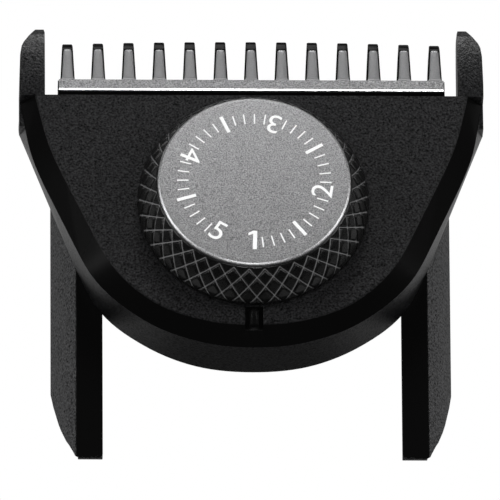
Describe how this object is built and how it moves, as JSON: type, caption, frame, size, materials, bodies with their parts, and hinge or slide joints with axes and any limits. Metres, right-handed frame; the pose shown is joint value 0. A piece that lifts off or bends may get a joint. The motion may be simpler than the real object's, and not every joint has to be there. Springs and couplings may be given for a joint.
{
  "type": "adjustable hair clipper comb attachment",
  "caption": "Clip-on guide comb for a hair clipper, with a knurled scale dial that slides the comb in and out.",
  "frame": {"origin": "middle of the bounding box, on the table under the arms", "axes": "+Z out of the front, +Y towards the teeth, -Y towards the arm ends, X across"},
  "size_m": [0.0456, 0.0444, 0.0182],
  "materials": {
    "matte_black": "fine matte moulded texture",
    "frame_black": "semi-matte moulded",
    "comb_black": "smooth",
    "grip_black": "diamond knurl",
    "gloss_black": "polished",
    "satin_metal": "satin",
    "dial_metal": "bead-blasted satin",
    "steel": "bright",
    "bush_brass": "turned",
    "white_acetal": "smooth",
    "seal_rubber": "soft",
    "white_print": "printed"
  },
  "bodies": {
    "housing": {"front_shell": "matte_black", "rear_frame": "frame_black", "left_arm": "frame_black", "right_arm": "frame_black", "click_ring": "white_acetal", "dial_bush": "bush_brass", "wave_washer": "steel", "index_pointer": "gloss_black", "left_guide_rail": "white_acetal", "right_guide_rail": "white_acetal", "left_rattle_spring": "steel", "right_rattle_spring": "steel", "mouth_wiper": "seal_rubber", "back_plug": "frame_black", "cover_screws": "steel", "arm_screws": "steel"},
    "dial": {"dial_grip": "grip_black", "dial_face": "dial_metal", "dial_core": "frame_black", "scroll_cam": "white_acetal", "spindle_washer": "steel", "spindle_screw": "steel", "click_ball": "steel", "click_spring": "steel"},
    "comb_slide": {"comb": "comb_black", "tooth_facing": "satin_metal", "follower_pin": "steel"}
  },
  "joints": [
    {"name": "comb_travel", "type": "slide", "parent": "housing", "child": "comb_slide", "axis": [0, 0.9877, -0.1564], "range_m": [0, 0.004]},
    {"name": "dial_turn", "type": "hinge", "parent": "housing", "child": "dial", "pos_m": [0, 0.0018, 0.0115], "axis": [0, -0.1564, -0.9877], "range_deg": [0, 327.3]}
  ],
  "couplings": [
    {"joint": "dial_turn", "follows": "comb_travel", "rad_per_m": 1428}
  ]
}
